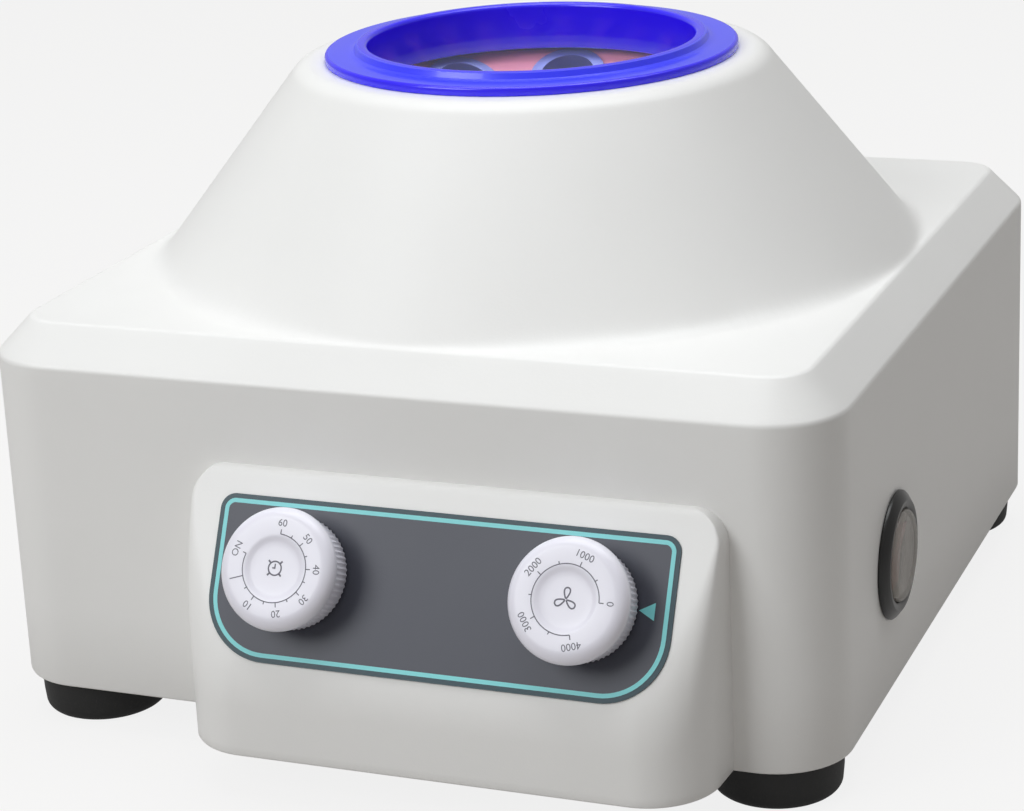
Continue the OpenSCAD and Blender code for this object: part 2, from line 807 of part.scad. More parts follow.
// A control knob: a low skirt, a fluted grip and a shallow dish on top.
module knob(x) {
  z0 = overlay_t + knob_gap;
  color("white") on_panel(x) difference() {
    rotate_extrude() polygon([[0, z0], [knob_d / 2 - 0.5, z0], [knob_d / 2, z0 + 0.5],
      [knob_d / 2, z0 + skirt_h - 1], [knob_d / 2 - 0.4, z0 + skirt_h],
      [knob_d / 2 - 0.6, knob_h - 2.5], [knob_d / 2 - 1.4, knob_h - 0.9], [knob_d / 2 - knob_edge, knob_h],
      [8.5, knob_h], [7.5, knob_h - 0.8], [0, knob_h - 0.8]]);
    translate([0, 0, -1]) cylinder(knob_recess_h + 1, knob_recess_r, knob_recess_r);
    cylinder(spindle_top, spindle_r, spindle_r);
  }
}

module timer_knob() { knob(-knob_x); }
module speed_knob() { knob(knob_x); }

module control_board() {
  color("green") translate([board_x, board_y, board_z]) difference() {
    cube([board_w, board_l, board_t]);
    for (x = [4, board_w - 4], y = [4, board_l - 4]) translate([x, y, -1]) cylinder(4, 1.5, 1.5);
  }
}

module board_pillars() {
  color("silver") for (x = [4, board_w - 4], y = [4, board_l - 4])
    translate([board_x + x, board_y + y, plate_top]) {
      cylinder(board_z - plate_top, 2.5, 2.5);
      cylinder(board_z - plate_top + board_t, 1.5, 1.5);
      translate([0, 0, board_z - plate_top + board_t]) cylinder(1.6, 2.6, 2.6);
    }
}

module board_parts() {
  color("darkgray") translate([board_x, board_y, board_z + board_t]) {
    translate([10, 8, 0]) cube([26, 3, 26]);
    for (i = [0:5]) translate([10 + i * 5, 11 - eps, 0]) cube([1.2, 9, 26]);
    translate([12, 30, 0]) cylinder(20, 6, 6);
    translate([26, 24, 0]) cube([12, 10, 14]);
    translate([10, 42, 0]) cube([24, 8, 9]);
  }
}

module switch_bezel() {
  color("black") on_switch() rotate_extrude() polygon([[boot_r, 0], [bezel_r, 0], [bezel_r, 0.8],
    [boot_r + 2.2, bezel_h], [boot_r + 0.8, bezel_h], [boot_r, bezel_h - 0.8]]);
}

module switch_body() {
  color("dimgray") on_switch() difference() {
    translate([0, 0, -switch_depth]) cylinder(switch_depth, switch_body_r, switch_body_r);
    translate([-rocker_w / 2 - 0.5, -rocker_l - 1.2, -10]) cube([rocker_w + 1, 2 * rocker_l + 2.4, 20]);
  }
  color("darkgoldenrod") on_switch() for (y = [-6, 0, 6])
    translate([-2.4, y - 0.4, -switch_depth - 7]) cube([4.8, 0.8, 7]);
}

module switch_boot() {
  color("lightgray", 0.5) on_switch() rotate_extrude() polygon([[boot_r - boot_t, 0], [boot_r, 0],
    [boot_r, bezel_h - 0.8], [boot_r - 0.8, bezel_h + boot_rise - 0.4], [boot_r - 2, bezel_h + boot_rise],
    [0, bezel_h + boot_rise], [0, bezel_h + boot_rise - boot_t], [boot_r - 2.4, bezel_h + boot_rise - boot_t],
    [boot_r - boot_t, bezel_h - 1]]);
}

module switch_rocker() {
  color("red") on_switch() translate([0, 0, rocker_pivot]) rotate([rocker_tilt, 0, 0])
    translate([0, 0, -rocker_pivot]) rotate([90, 0, 90]) linear_extrude(rocker_w, center = true)
      polygon([[-rocker_l, rocker_top + 0.6], [0, rocker_top], [rocker_l, rocker_top + 0.6],
        [rocker_l - 1, -2.5], [2.5, -6], [-2.5, -6], [1 - rocker_l, -2.5]]);
}

module power_inlet() {
  color("black") on_rear(inlet_x, inlet_z) difference() {
    union() {
      translate([-inlet_w / 2, -inlet_h / 2, -inlet_depth]) cube([inlet_w, inlet_h, inlet_depth]);
      slab_plate(inlet_flange_w, inlet_flange_h, 6, inlet_flange_t);
    }
    translate([-inlet_hole_w / 2, -inlet_hole_h / 2, -inlet_depth + 3])
      cube([inlet_hole_w, inlet_hole_h, inlet_depth + 5]);
    for (x = [-20, 20]) translate([x, 0, -1]) cylinder(5, 1.7, 1.7);
    for (p = [[-pin_pitch, -pin_rise], [pin_pitch, -pin_rise], [0, pin_rise]])
      translate([p[0] - pin_w / 2, p[1] - pin_t / 2, -inlet_depth - 1]) cube([pin_w, pin_t, 6]);
  }
}

// A flat plate with round corners, centred, from z = 0 up.
module slab_plate(w, h, r, t) {
  slab(w, h, r, t);
}

module inlet_pins() {
  color("gold") on_rear(inlet_x, inlet_z)
    for (p = [[-pin_pitch, -pin_rise], [pin_pitch, -pin_rise], [0, pin_rise]])
      translate([p[0] - pin_w / 2, p[1] - pin_t / 2, -inlet_depth - 6]) cube([pin_w, pin_t, pin_len + 8]);
}

module fuse_holder() {
  color("black") on_rear(fuse_x, inlet_z) difference() {
    union() {
      translate([0, 0, -fuse_len]) cylinder(fuse_len, fuse_r, fuse_r);
      cylinder(fuse_flange_t, fuse_flange_r, fuse_flange_r);
    }
    translate([0, 0, -fuse_len + 2]) cylinder(fuse_len + 2, fuse_r - 1.6, fuse_r - 1.6);
  }
}

module fuse_cap() {
  color("black") on_rear(fuse_x, inlet_z) difference() {
    union() {
      translate([0, 0, fuse_flange_t]) cylinder(fuse_cap_h, fuse_cap_r, fuse_cap_r - 0.4);
      translate([0, 0, -4]) cylinder(7, fuse_r - 1.6, fuse_r - 1.6);
      translate([0, 0, -fuse_len + 6]) cylinder(fuse_len - 8, 2.6, 2.6);
    }
    translate([-fuse_cap_r, -0.6, fuse_flange_t + fuse_cap_h - 1.5]) cube([2 * fuse_cap_r, 1.2, 3]);
  }
}

translate([shift_x, shift_y, 0]) {
  housing();
  base_plate();
  base_screws();
  panel_overlay();
  foot_front_left();
  foot_front_right();
  foot_rear_left();
  foot_rear_right();
  foot_screws();
  guard_bowl();
  bowl_screws();
  motor_bracket();
  bracket_dampers();
  damper_screws();
  motor_can();
  motor_top_cap();
  stator_core();
  field_coils();
  shaft_bearings();
  brush_holders();
  carbon_brushes();
  motor_shaft();
  armature_core();
  armature_windings();
  commutator();
  cooling_fan();
  drive_collar();
  rotor_body();
  tube_sleeve_1();
  tube_sleeve_2();
  tube_sleeve_3();
  tube_sleeve_4();
  tube_sleeve_5();
  tube_sleeve_6();
  tube_sleeve_7();
  tube_sleeve_8();
  rotor_washer();
  rotor_nut();
  lid_rim();
  lid_window();
  lid_seal();
  timer_body();
  timer_shaft();
  timer_knob();
  speed_control();
  speed_shaft();
  speed_knob();
  panel_nuts();
  control_board();
  board_pillars();
  board_parts();
  switch_bezel();
  switch_body();
  switch_boot();
  switch_rocker();
  power_inlet();
  inlet_pins();
  fuse_holder();
  fuse_cap();
}
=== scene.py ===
"""Benchtop angle-rotor centrifuge: the looks of every visible piece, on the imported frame.

Lengths are in millimetres, with the rotor's axis upright through x = y = 0, the table at z = 0 and
the panel towards -Y. add_piece() moves them to the frame's origin and turns them into metres.
"""
import math

import bpy
import numpy as np
from mathutils import Matrix, Vector


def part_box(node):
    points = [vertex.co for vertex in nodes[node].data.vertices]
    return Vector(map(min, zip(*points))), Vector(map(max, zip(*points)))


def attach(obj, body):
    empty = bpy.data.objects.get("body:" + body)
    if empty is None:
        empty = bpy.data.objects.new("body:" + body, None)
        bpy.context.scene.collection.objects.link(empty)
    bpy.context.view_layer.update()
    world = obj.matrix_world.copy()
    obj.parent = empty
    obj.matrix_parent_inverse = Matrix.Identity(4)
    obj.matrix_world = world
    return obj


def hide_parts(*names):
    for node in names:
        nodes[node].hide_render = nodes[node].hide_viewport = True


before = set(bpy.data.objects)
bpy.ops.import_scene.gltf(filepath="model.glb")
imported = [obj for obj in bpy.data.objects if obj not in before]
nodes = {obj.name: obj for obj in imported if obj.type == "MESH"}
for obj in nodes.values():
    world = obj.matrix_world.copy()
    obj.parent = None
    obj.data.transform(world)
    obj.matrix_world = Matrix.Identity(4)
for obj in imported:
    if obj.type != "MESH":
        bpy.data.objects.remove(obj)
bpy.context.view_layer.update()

# Housing
# The white case is one injection moulding in ABS: a box with round corners, a bevel round its deck
# and a cone that carries the lid. Its edges are softened, and the cone runs out over the deck.

BODY_HALF = 127.5
CORNER_R = 22.0
WALL = 3.0
GROUND_GAP = 13.0
SHOULDER_Z = 112.5
BEVEL_H, BEVEL_IN = 10.5, 10.3
BEVEL_R = 2.4  # of the soft edges below and above the bevel
DECK_Z = SHOULDER_Z + BEVEL_H
CONE_TOP_Z = DECK_Z + 58.0
CONE_TOP_R = 70.5
CONE_FOOT_R = BODY_HALF - BEVEL_IN - 0.7
CONE_ROUND = 8.0
MOUTH_R = 59.5
EDGE_BLEND, FOOT_BLEND = 1.2, 3.6  # how softly the cone meets the deck's edge, and the deck
BLEND_RUN = 12.0  # from the first to the second
SOCKET_X, SOCKET_Z = -62.0, 48.0  # middle of the opening for the mains inlet, in the rear wall
SOCKET_HALF_W, SOCKET_HALF_H = 14.0, 10.0
SIDE_STEPS, CORNER_STEPS, CONE_STEPS = 44, 16, 90
MM = 0.001

# Where the frame has the rotor's axis, from the case's rear right corner.
AXIS_X, AXIS_Y = np.array(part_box("housing")[1])[:2] / MM - BODY_HALF


def srgb(hex_colour):
    """Linear colour from an sRGB hex string: each part c is ((c + 0.055) / 1.055) to the power 2.4."""
    parts = [int(hex_colour[i:i + 2], 16) / 255 for i in (0, 2, 4)]
    return tuple(c / 12.92 if c <= 0.04045 else ((c + 0.055) / 1.055) ** 2.4 for c in parts) + (1.0,)


def add_node(tree, kind, inputs, **settings):
    """A node of a kind with its settings; each input takes a value or a link from another's output."""
    node = tree.nodes.new("ShaderNode" + kind)
    for name, value in settings.items():
        setattr(node, name, value)
    for key, value in inputs.items():
        if isinstance(value, bpy.types.NodeSocket):
            tree.links.new(value, node.inputs[key])
        else:
            node.inputs[key].default_value = value
    return node


def finish(name, colour, roughness, metallic=0.0, vary=0.04, rough_vary=0.06, bump=0.0, grain_mm=1.11,
           coat=0.0, alpha=1.0):
    """A material whose colour drifts by the share vary and its roughness by rough_vary, in soft clouds.

    With bump, a grain of grain_mm gives the surface its tooth. The clouds are as wide as a palm, as
    slow waves in a moulding are. A real grain of 0.05 to 0.2 mm wouldn't show, so it is drawn coarser.
    """
    cloud_mm, grain_deep = 55.6, 0.0002
    material = bpy.data.materials.new(name)
    material.use_nodes = True
    tree = material.node_tree
    tree.nodes.clear()
    place = add_node(tree, "TexCoord", {}).outputs["Object"]
    cloud = add_node(tree, "TexNoise", {"Vector": place, "Scale": 1 / (cloud_mm * MM), "Detail": 5.0})
    cloud = cloud.outputs["Fac"]
    tint = add_node(tree, "ValToRGB", {"Fac": cloud})
    middle = np.array(srgb(colour)[:3])
    for element, position, share in zip(tint.color_ramp.elements, (0.3, 0.7), (1 - vary, 1 + vary)):
        element.position = position
        element.color = (*np.minimum(middle * share, 1), 1)
    dull = add_node(tree, "MapRange", {"Value": cloud, "To Min": max(roughness - rough_vary, 0.02),
                                       "To Max": roughness + rough_vary})
    look = {"Base Color": tint.outputs["Color"], "Roughness": dull.outputs["Result"], "Metallic": metallic,
            "IOR": 1.5, "Coat Weight": coat, "Alpha": alpha}
    if bump:
        grain = add_node(tree, "TexNoise", {"Vector": place, "Scale": 1 / (grain_mm * MM), "Detail": 3.0})
        tooth = add_node(tree, "Bump", {"Height": grain.outputs["Fac"], "Strength": bump,
                                        "Distance": grain_deep})
        look["Normal"] = tooth.outputs["Normal"]
    shader = add_node(tree, "BsdfPrincipled", look)
    add_node(tree, "OutputMaterial", {"Surface": shader.outputs["BSDF"]})
    return material


# A fine spark-eroded texture: a satin white that is a little warm, with hardly any gloss.
abs_white = finish("moulded_white_abs", "EFEEEC", 0.42, vary=0.012, bump=0.12, grain_mm=0.714, coat=0.05)


def arc(centre, radius, start, stop, steps=8):
    """Points (centre + radius cos a, centre + radius sin a) for a from start to stop degrees."""
    turn = np.radians(np.linspace(start, stop, steps + 1))
    return [(centre[0] + radius * math.cos(a), centre[1] + radius * math.sin(a)) for a in turn]


def smooth_max(a, b, k):
    """The larger of two heights, raised by (k - difference) squared / 4k where they differ by less than k."""
    near = np.maximum(k - np.abs(a - b), 0) / k
    return np.maximum(a, b) + near * near * k / 4


def outline(inset):
    """The case seen from above, anticlockwise: a straight side and a quarter circle, four times turned."""
    flat, r = BODY_HALF - CORNER_R, CORNER_R - inset
    along = np.linspace(-flat, flat, SIDE_STEPS, endpoint=False)
    side = np.column_stack([np.full(SIDE_STEPS, flat + r), along])
    turn = np.linspace(0, np.pi / 2, CORNER_STEPS, endpoint=False)
    corner = np.column_stack([flat + r * np.cos(turn), flat + r * np.sin(turn)])
    quarter = np.concatenate([side, corner])
    turns = [(1, 0), (0, 1), (-1, 0), (0, -1)]
    return np.concatenate([quarter @ np.array([[c, s], [-s, c]]) for c, s in turns])


def cone_height(radius):
    """Height of the cone's straight side at a radius: it falls evenly from its top to its foot."""
    slope = (CONE_TOP_Z - DECK_Z) / (CONE_FOOT_R - CONE_TOP_R)
    return CONE_TOP_Z - (radius - CONE_TOP_R) * slope


def wall_profile():
    """(inset, height) up the outside: round the lower lip, up the wall and over the soft-edged bevel."""
    lean = math.atan(BEVEL_IN / BEVEL_H)
    low_run, high_run = BEVEL_R * math.tan(lean / 2), BEVEL_R * math.tan((math.pi / 2 - lean) / 2)
    lip_out, lip_in, lip_top = 0.8, 0.6, 30.0
    profile = [(WALL, lip_top), (WALL, GROUND_GAP + lip_in), (WALL - lip_in, GROUND_GAP),
               (lip_out, GROUND_GAP), (0.25, GROUND_GAP + 0.25), (0, GROUND_GAP + lip_out),
               (0, SOCKET_Z - SOCKET_HALF_H), (0, SOCKET_Z + SOCKET_HALF_H), (0, 75),
               (0, SHOULDER_Z - low_run - 3)]
    profile += [(BEVEL_R - x, z) for x, z in arc((0, SHOULDER_Z - low_run), BEVEL_R, 0, math.degrees(lean))]
    start = np.array([low_run * math.sin(lean), SHOULDER_Z + low_run * math.cos(lean)])
    stop = np.array([BEVEL_IN - high_run * math.sin(lean), DECK_Z - high_run * math.cos(lean)])
    profile += [tuple(start + (stop - start) * t) for t in np.linspace(0.1, 0.9, 6)]
    return profile + [(BEVEL_IN + high_run - x, z)
                      for x, z in arc((0, DECK_Z - BEVEL_R), BEVEL_R, math.degrees(lean), 90)]


def housing_rows():
    """Rows of points from the lip up the wall, over the deck and the cone, and into the mouth.

    The height is the larger of the deck's and the cone's, blended, and each row over the deck keeps
    the direction of the deck's edge while its distance from the axis shrinks to the cone's top.
    """
    rows = []
    for inset, z in wall_profile():
        ring = outline(inset)
        reach = np.hypot(*ring.T)
        height = np.full(len(ring), float(z))
        if z > SHOULDER_Z:
            height = smooth_max(height, cone_height(reach), EDGE_BLEND)
        rows.append(np.column_stack([ring, height]))
    unit = ring / reach[:, None]
    slope = math.atan((CONE_FOOT_R - CONE_TOP_R) / (CONE_TOP_Z - DECK_Z))
    crown_run = CONE_ROUND * math.tan((math.pi / 2 - slope) / 2)
    top_r = CONE_TOP_R + crown_run * math.sin(slope)
    for share in np.linspace(0, 1, CONE_STEPS)[1:]:
        radius = reach + (top_r - reach) * share
        blend = EDGE_BLEND + (FOOT_BLEND - EDGE_BLEND) * np.clip((reach - radius) / BLEND_RUN, 0, 1)
        height = smooth_max(np.full(len(ring), DECK_Z), cone_height(radius), blend)
        rows.append(np.column_stack([unit * radius[:, None], height]))
    centre = (CONE_TOP_R - crown_run, CONE_TOP_Z - CONE_ROUND)
    crown = arc(centre, CONE_ROUND, math.degrees(slope), 90, 10)[1:]
    crown += [(MOUTH_R + 0.8, CONE_TOP_Z), (MOUTH_R + 0.2, CONE_TOP_Z - 0.2), (MOUTH_R, CONE_TOP_Z - 0.8)]
    inside = [(MOUTH_R, CONE_TOP_Z - WALL), (MOUTH_R + 12, CONE_TOP_Z - WALL), (95, DECK_Z + 25),
              (112, DECK_Z - WALL)]
    return rows + [np.column_stack([unit * r, np.full(len(unit), z)]) for r, z in crown + inside]


def ring_faces(rows, count, closed=True):
    """Quads between rows of count points: a point, its neighbour, and the same two one row on."""
    here = np.arange(count if closed else count - 1)
    beside, start = (here + 1) % count, np.arange(rows - 1)[:, None] * count
    quads = np.stack([start + here, start + beside, start + count + beside, start + count + here], -1)
    return quads.reshape(-1, 4).tolist()


def add_piece(name, points, faces, materials, body, replaced, smooth=40.0):
    """A piece from points and faces, with edges over smooth degrees sharp. It rides on body."""
    mesh = bpy.data.meshes.new(name)
    mesh.from_pydata(((np.asarray(points) + [AXIS_X, AXIS_Y, 0]) * MM).tolist(), [], faces)
    mesh.validate()
    mesh.polygons.foreach_set("use_smooth", [True] * len(mesh.polygons))
    mesh.set_sharp_from_angle(angle=math.radians(smooth))
    for material in materials:
        mesh.materials.append(material)
    piece = bpy.data.objects.new(name, mesh)
    bpy.context.scene.collection.objects.link(piece)
    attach(piece, body)
    if replaced:
        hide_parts(*replaced)
    return piece


rows = housing_rows()
points = np.concatenate(rows)
faces = np.array(ring_faces(len(rows), len(rows[0])))
middle = points[faces].mean(1)
in_socket = (abs(middle[:, 0] - SOCKET_X) < SOCKET_HALF_W) & (abs(middle[:, 2] - SOCKET_Z) < SOCKET_HALF_H)
in_socket &= middle[:, 1] > BODY_HALF - 1
add_piece("housing_shell", points, faces[~in_socket].tolist(), [abs_white], "base", ["housing"],
          smooth=50)

# Panel block
# The block on the front wall is part of the same moulding. Its face leans back under the knobs. Its
# corners are well rounded, and its flanks run a little way into the wall.

PANEL_X = 22.0
PANEL_TOP = 89.0
PANEL_HALF = 78.0
PANEL_OUT = 29.0
PANEL_LEAN = math.radians(27)
LEDGE_OUT, FACE_Z = 4.3, 85.8
PLAN_R = 20.0  # of the block's upright corners, seen from above
TOP_R, EDGE_R = 9.0, 2.6  # of its upper corners, seen from the front, and of its upper edge
SIDE_DRAFT = 0.5
ROOT = 0.4  # how far its flanks run into the wall
MIDDLE_BLEND, FLANK_BLEND, FLANK_FROM, FLANK_RUN = 4.5, 4.5, 60.0, 12.0


def smooth_min(a, b, k):
    """The smaller of two depths, blended where they differ by less than k."""
    return -smooth_max(-a, -b, k)


def block_outline():
    """The block seen from above: (across, out) along one side, round a quarter circle and over the front."""
    side = [(PANEL_HALF - SIDE_DRAFT * max(out, 0) / (PANEL_OUT - PLAN_R), out)
            for out in (-ROOT, 0.4, 1.5, 3, 4.5, 6, 7.5)]
    centre = (PANEL_HALF - SIDE_DRAFT - PLAN_R, PANEL_OUT - PLAN_R)
    half = side + arc(centre, PLAN_R, 0, 90, 26)
    front = [(x, PANEL_OUT) for x in np.linspace(-centre[0], centre[0], 26)[1:-1]]
    return np.array([(-x, out) for x, out in half] + front + half[::-1])


def block_profile():
    """The block seen from the side: (height, how far the leaning face stands out, inset), upwards."""
    far, lip = 60.0, 0.8
    rows = [(GROUND_GAP + WALL, far, WALL), (GROUND_GAP, far, WALL), (GROUND_GAP, far, lip),
            (GROUND_GAP + 0.25, far, 0.25), (GROUND_GAP + lip, far, 0.0)]
    heights = [*np.arange(16, 29, 2.5), *np.arange(29, 84, 1.2), 85, 86, 87]
    rows += [(z, LEDGE_OUT + (FACE_Z - z) * math.tan(PANEL_LEAN), 0.0) for z in heights]
    start = PANEL_TOP - EDGE_R + EDGE_R * math.sin(PANEL_LEAN)
    centre = LEDGE_OUT + (FACE_Z - start) * math.tan(PANEL_LEAN) - EDGE_R * math.cos(PANEL_LEAN)
    edge = arc((centre, PANEL_TOP - EDGE_R), EDGE_R, math.degrees(PANEL_LEAN), 90)
    rows += [(z, out, 0.0) for out, z in edge]
    return rows + [(PANEL_TOP, -ROOT, 0.0)]


def block_rows():
    """Rows of the block: at each height the smaller of the outline's and the leaning face's reach, blended.

    Above the upper corners' centres the row narrows along a circle of TOP_R.
    """
    across, out = block_outline().T
    blend = MIDDLE_BLEND + FLANK_BLEND * np.clip((np.abs(across) - FLANK_FROM) / FLANK_RUN, 0, 1)
    rows = []
    for z, face, inset in block_profile():
        lift = max(z - (PANEL_TOP - TOP_R), 0)
        half = PANEL_HALF - TOP_R + math.sqrt(TOP_R ** 2 - lift ** 2) - inset
        depth = smooth_min(out - inset, np.full(len(out), face), blend)
        rows.append(np.column_stack([across * half / PANEL_HALF, -depth, np.full(len(out), z)]))
    return rows


rows = block_rows()
add_piece("panel_block", np.concatenate(rows) + [PANEL_X, -BODY_HALF, 0],
          ring_faces(len(rows), len(rows[0]), closed=False), [abs_white], "base", ["housing"],
          smooth=50)

# Panel overlay
# A printed polyester film: slate field, turquoise line and a dark teal border, glued on the face.

LABEL_W, LABEL_H, LABEL_T = 135.0, 46.0, 0.4
LABEL_DROP, KNOB_DROP = 3.7, 20.5
LABEL_TOP_R, LABEL_FOOT_R = 4.5, 18.5
INK = 0.02  # how far a printed line stands up
LINE_OUT, LINE_IN = 1.4, 2.6  # the turquoise line's two edges, inset from the film's edge

# Matt polyester with a fine tooth, so that the dark field has no mirror of the lamps.
field_slate = finish("printed_slate_film", "3F414C", 0.42, bump=0.1, grain_mm=0.4)
band_teal = finish("printed_teal_film", "0A3540", 0.4, bump=0.1, grain_mm=0.4)
# Ink lies flat on the film and is the one clear, light line on it.
line_turquoise = finish("printed_turquoise_ink", "7FD6D8", 0.4, vary=0.03)


def on_panel(x):
    """Matrix from a place on the panel face, x from its centre at knob height, +Z outwards."""
    drop = LABEL_DROP + KNOB_DROP
    s, c = math.sin(PANEL_LEAN), math.cos(PANEL_LEAN)
    place = (PANEL_X + x, -BODY_HALF - LEDGE_OUT - drop * s, FACE_Z - drop * c)
    return Matrix(((1, 0, 0, place[0]), (0, s, -c, place[1]), (0, c, s, place[2]), (0, 0, 0, 1)))


def placed(points, matrix):
    """Points moved by a 4 by 4 matrix."""
    m = np.array(matrix)
    return np.asarray(points) @ m[:3, :3].T + m[:3, 3]


def label_ring(inset, height):
    """The film's outline, inset, anticlockwise from its lower right corner: four arcs joined by lines."""
    half, top, foot = LABEL_W / 2 - inset, KNOB_DROP - inset, KNOB_DROP - LABEL_H + inset
    top_r, foot_r = max(LABEL_TOP_R - inset, 0.5), LABEL_FOOT_R - inset
    flat = arc((half - foot_r, foot + foot_r), foot_r, -90, 0, 16)
    flat += arc((half - top_r, top - top_r), top_r, 0, 90, 16)
    flat += arc((top_r - half, top - top_r), top_r, 90, 180, 16)
    flat += arc((foot_r - half, foot + foot_r), foot_r, 180, 270, 16)
    return np.column_stack([flat, np.full(len(flat), height)])


rings = [label_ring(inset, height) for inset, height in [
    (0, -0.3), (0.05, LABEL_T), (LINE_OUT, LABEL_T), (LINE_OUT + 0.01, LABEL_T + INK),
    (LINE_IN, LABEL_T + INK), (LINE_IN + 0.01, LABEL_T)]]
count = len(rings[0])
faces = ring_faces(len(rings), count) + [list(range(5 * count, 6 * count))]
overlay = add_piece("panel_film", placed(np.concatenate(rings), on_panel(0)), faces,
                    [band_teal, line_turquoise, field_slate], "base", ["panel_overlay"],
                    smooth=20)
BAND, LINE, FIELD = 0, 1, 2
inks = np.repeat([BAND, BAND, LINE, LINE, LINE], count).tolist() + [FIELD]
overlay.data.polygons.foreach_set("material_index", inks)

# The pointer beside the speed knob is printed on the same film.
marker = np.array([(57.8, 0), (62.2, -2.4), (62.2, 2.4)])
marker = np.column_stack([marker, np.full(3, LABEL_T + 2 * INK)])
add_piece("speed_pointer", placed(marker, on_panel(0)), [[0, 1, 2]], [line_turquoise], "base", ())

# Knobs
# White moulded knobs: a plain rounded face with a shallow dish, a groove, and a fluted grip behind.

KNOB_X = 42.0
KNOB_R, KNOB_H, KNOB_FOOT = 17.0, 14.8, 1.0
FACE_R = 3.6  # of the round edge of the face
GRIP_R, GROOVE_R, BORE_R = 15.8, 15.0, 9.0
FLUTES, FLUTE_DEPTH = 64, 0.32
KNOB_COUNT = FLUTES * 6
DISH_DEEP = 0.62

# A polished mould: a cooler, smoother white than the case, with a little more gloss.
knob_white = finish("moulded_knob_white", "ECEAF4", 0.34, vary=0.012, bump=0.06, coat=0.1)


def knob_rows():
    """A profile of (radius, height) turned about +Z, less the flutes: a raised cosine of FLUTES waves."""
    grip = [(BORE_R, 4.5, 0), (BORE_R, 0, 0), (14.5, 0, 0), (15.4, 0.1, 0.5), (GRIP_R, 0.5, 1),
            (GRIP_R, 4, 1), (GRIP_R - 0.1, 7.0, 1), (15.4, 7.4, 0.5), (15.1, 7.6, 0)]
    grip = [(r, KNOB_FOOT + z, depth) for r, z, depth in grip]
    plain = [(GROOVE_R, 8.7), (GROOVE_R, 9.1), (15.5, 9.3), (16.1, 9.6)]
    plain += arc((KNOB_R - FACE_R, KNOB_H - FACE_R), FACE_R, 0, 90, 10)
    dish = [(11.5, 0), (9.2, 0), (8.7, 0.05), (8.2, 0.22), (7.7, 0.42), (7.0, 0.54), (5.5, 0.6),
            (3, DISH_DEEP), (0.01, DISH_DEEP)]
    plain += [(r, KNOB_H - deep) for r, deep in dish]
    radius, height, depth = np.array(grip + [(r, z, 0) for r, z in plain]).T
    turn = np.arange(KNOB_COUNT) * 2 * np.pi / KNOB_COUNT
    flute = FLUTE_DEPTH * (0.5 + 0.5 * np.cos(turn * FLUTES)) ** 0.7
    reach = radius[:, None] - flute * depth[:, None]
    level = np.broadcast_to(height[:, None], reach.shape)
    return np.stack([reach * np.cos(turn), reach * np.sin(turn), level], -1)


rows = knob_rows()
faces = ring_faces(len(rows), KNOB_COUNT)
for name, x in [("timer", -KNOB_X), ("speed", KNOB_X)]:
    add_piece(name + "_knob_face", placed(rows.reshape(-1, 3), on_panel(x)), faces, [knob_white],
              name + "_dial", [name + "_knob"], smooth=45)

# Dial prints
# Scales, numbers and a small sign, pad-printed in grey on each knob's face.

PRINT_Z, SIGN_Z = KNOB_H + 0.03, KNOB_H - 0.59
SCALE_R, SCALE_LINE = 9.4, 0.28
NUMERAL_H, NUMERAL_OUT = 2.8, 3.0
SHORT_TICK, LONG_TICK, ON_TICK, ZERO_TICK = 0.8, 1.3, 1.0, 4.0
TIMER_ON, TIMER_ZERO, TIMER_SWEEP = 160, 198, 248
SPEED_SWEEP, SPEED_TOP = 285, 4000

# Thin matt ink that lets a little of the white through, so it is grey and not black.
print_grey = finish("printed_grey_ink", "6E6C78", 0.6, vary=0.03)


def strip(points, width, height):
    """A flat printed line: each point moved by half the width to both sides of the line's direction."""
    line = np.array(points, float)
    along = np.gradient(line, axis=0)
    along /= np.linalg.norm(along, axis=1)[:, None]
    side = np.column_stack([-along[:, 1], along[:, 0]]) * width / 2
    edges = np.concatenate([line + side, line - side])
    n = len(line)
    here = np.arange(n - 1)
    quads = np.column_stack([here, n + here, n + here + 1, here + 1])
    return np.column_stack([edges, np.full(2 * n, height)]), quads.tolist()


def numeral(word, centre, turn):
    """A number's outline as flat points and faces, centred on a place and turned by degrees."""
    curve = bpy.data.curves.new("numeral", "FONT")
    curve.body, curve.size, curve.align_x, curve.align_y = word, NUMERAL_H, "CENTER", "CENTER"
    curve.resolution_u = 3
    text = bpy.data.objects.new("numeral", curve)
    mesh = bpy.data.meshes.new_from_object(text)
    flat = np.array([tuple(v.co) for v in mesh.vertices]).reshape(-1, 3)[:, :2]
    faces = [tuple(f.vertices) for f in mesh.polygons]
    bpy.data.objects.remove(text)
    bpy.data.curves.remove(curve)
    bpy.data.meshes.remove(mesh)
    c, s = math.cos(math.radians(turn)), math.sin(math.radians(turn))
    flat = flat @ np.array([[c, s], [-s, c]]) + np.array(centre)
    return np.column_stack([flat, np.full(len(flat), PRINT_Z)]), faces


def polar(radius, degrees):
    """The point (radius cos a, radius sin a)."""
    return (radius * math.cos(math.radians(degrees)), radius * math.sin(math.radians(degrees)))


def joined(parts):
    """One list of points and faces from several."""
    starts = np.cumsum([0] + [len(points) for points, _ in parts[:-1]])
    faces = [tuple(int(i + start) for i in face) for start, (_, some) in zip(starts, parts) for face in some]
    return np.concatenate([points for points, _ in parts]), faces


def dial_print(first, last, ticks, words, sign):
    """The scale on a knob's face: an arc from first to last degrees, ticks outside it, numbers and a sign."""
    parts = [strip([polar(SCALE_R, a) for a in np.linspace(first, last, 60)], SCALE_LINE, PRINT_Z)]
    parts += [strip([polar(SCALE_R, a), polar(SCALE_R + length, a)], SCALE_LINE, PRINT_Z)
              for a, length in ticks]
    parts += [numeral(word, polar(SCALE_R + NUMERAL_OUT, a), a - 90) for word, a in words]
    return joined(parts + sign)


